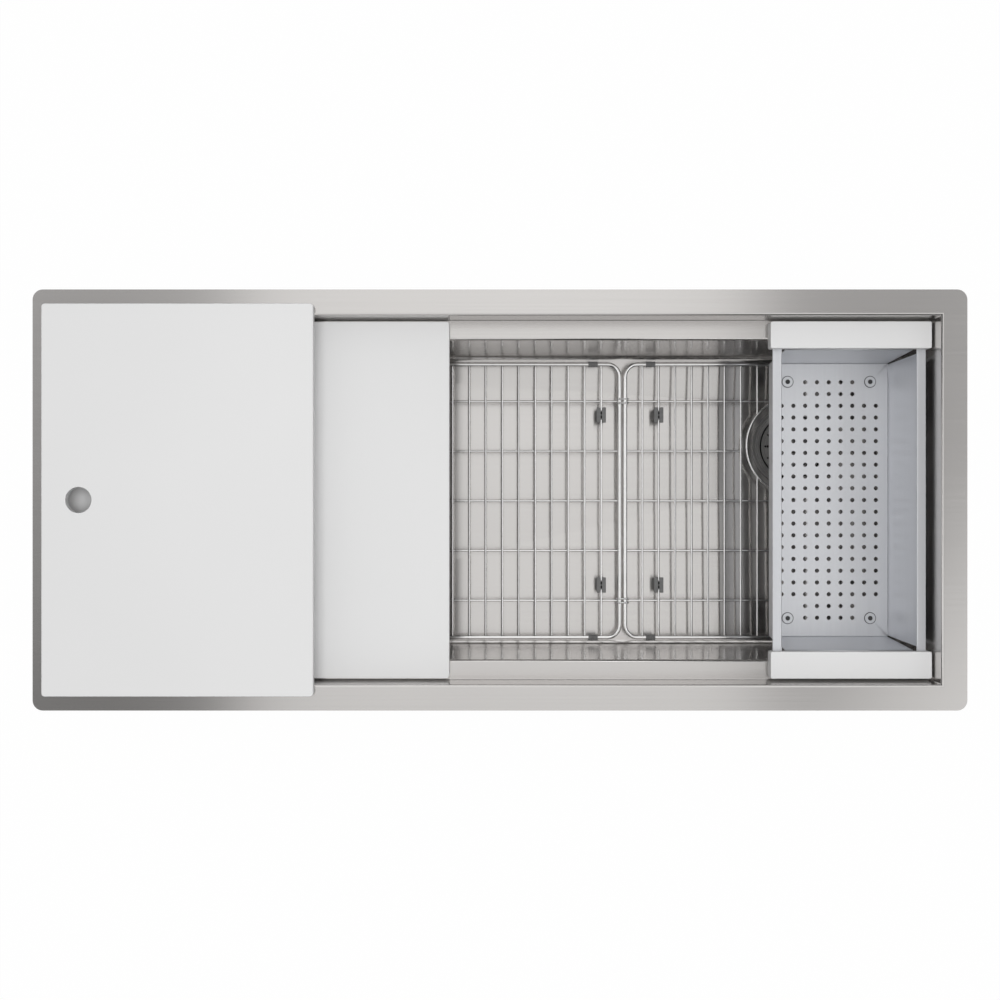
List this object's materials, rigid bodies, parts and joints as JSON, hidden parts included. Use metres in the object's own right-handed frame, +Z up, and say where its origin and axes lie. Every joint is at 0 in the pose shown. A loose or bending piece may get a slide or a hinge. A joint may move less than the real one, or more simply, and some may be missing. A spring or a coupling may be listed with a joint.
{
  "type": "workstation kitchen sink",
  "caption": "Stepped stainless workstation sink with sliding cutting boards, a hanging colander, a folding bottom grid and a rear drain with a lift-out basket strainer.",
  "frame": {"origin": "middle of the bowl's opening, in the plane of the rim's top face", "axes": "+X along the long side towards the drain end, +Y towards the wall behind the sink, +Z up"},
  "size_m": [1.1556, 0.5206, 0.4588],
  "materials": {
    "bowl_steel": "brushed along the length",
    "tray_steel": "fine satin, slightly blue",
    "wire_steel": "electropolished wire",
    "bright_steel": "polished",
    "board_polymer": "fine matt",
    "handle_polymer": "fine matt",
    "grid_rubber": "matt",
    "pad_rubber": "matt",
    "seal_rubber": "satin",
    "fibre_ring": "pressed fibre"
  },
  "bodies": {
    "root": {"drain_body": "bright_steel", "drain_friction_ring": "fibre_ring", "drain_locknut": "bright_steel", "drain_top_gasket": "seal_rubber", "drain_under_gasket": "seal_rubber", "grid_link_1": "wire_steel", "grid_link_2": "wire_steel", "grid_link_3": "wire_steel", "grid_link_4": "wire_steel", "sink_bowl": "bowl_steel", "sound_pad_floor_left": "pad_rubber", "sound_pad_floor_right": "pad_rubber", "sound_pad_front": "pad_rubber", "sound_pad_left": "pad_rubber", "sound_pad_rear": "pad_rubber", "sound_pad_right": "pad_rubber", "tailpiece": "bright_steel", "tailpiece_nut": "bright_steel", "tailpiece_washer": "seal_rubber"},
    "upper_board": {"upper_board": "board_polymer"},
    "lower_board": {"lower_board": "board_polymer"},
    "colander": {"colander_foot_1": "grid_rubber", "colander_foot_2": "grid_rubber", "colander_foot_3": "grid_rubber", "colander_foot_4": "grid_rubber", "colander_handle_front": "handle_polymer", "colander_handle_rear": "handle_polymer", "colander_tray": "tray_steel", "foot_washer_1": "tray_steel", "foot_washer_2": "tray_steel", "foot_washer_3": "tray_steel", "foot_washer_4": "tray_steel", "handle_screw_1": "bright_steel", "handle_screw_2": "bright_steel", "handle_screw_3": "bright_steel", "handle_screw_4": "bright_steel"},
    "grid_left": {"grid_left_bumper_1": "grid_rubber", "grid_left_bumper_2": "grid_rubber", "grid_left_bumper_3": "grid_rubber", "grid_left_bumper_4": "grid_rubber", "grid_left_foot_1": "grid_rubber", "grid_left_foot_2": "grid_rubber", "grid_left_foot_3": "grid_rubber", "grid_left_foot_4": "grid_rubber", "grid_left_foot_5": "grid_rubber", "grid_left_foot_6": "grid_rubber", "grid_left_wires": "wire_steel"},
    "grid_right": {"grid_right_bumper_1": "grid_rubber", "grid_right_bumper_2": "grid_rubber", "grid_right_bumper_3": "grid_rubber", "grid_right_bumper_4": "grid_rubber", "grid_right_foot_1": "grid_rubber", "grid_right_foot_2": "grid_rubber", "grid_right_foot_3": "grid_rubber", "grid_right_foot_4": "grid_rubber", "grid_right_wires": "wire_steel"},
    "basket": {"basket_cap": "bright_steel", "basket_cup": "bright_steel", "basket_post": "bright_steel", "basket_seal": "seal_rubber"}
  },
  "joints": [
    {"name": "upper_board_slide", "type": "slide", "parent": "root", "child": "upper_board", "axis": [1, 0, 0], "range_m": [0, 0.79]},
    {"name": "lower_board_slide", "type": "slide", "parent": "root", "child": "lower_board", "axis": [1, 0, 0], "range_m": [0, 0.15]},
    {"name": "colander_slide", "type": "slide", "parent": "root", "child": "colander", "axis": [1, 0, 0], "range_m": [-0.25, 0]},
    {"name": "grid_left_fold", "type": "hinge", "parent": "root", "child": "grid_left", "pos_m": [0.1674, 0, -0.228], "axis": [0, 1, 0], "range_deg": [0, 12]},
    {"name": "grid_right_fold", "type": "hinge", "parent": "root", "child": "grid_right", "pos_m": [0.1753, 0, -0.228], "axis": [0, -1, 0], "range_deg": [0, 10]},
    {"name": "basket_lift", "type": "slide", "parent": "root", "child": "basket", "axis": [0, 0, 1], "range_m": [0, 0.07]}
  ]
}
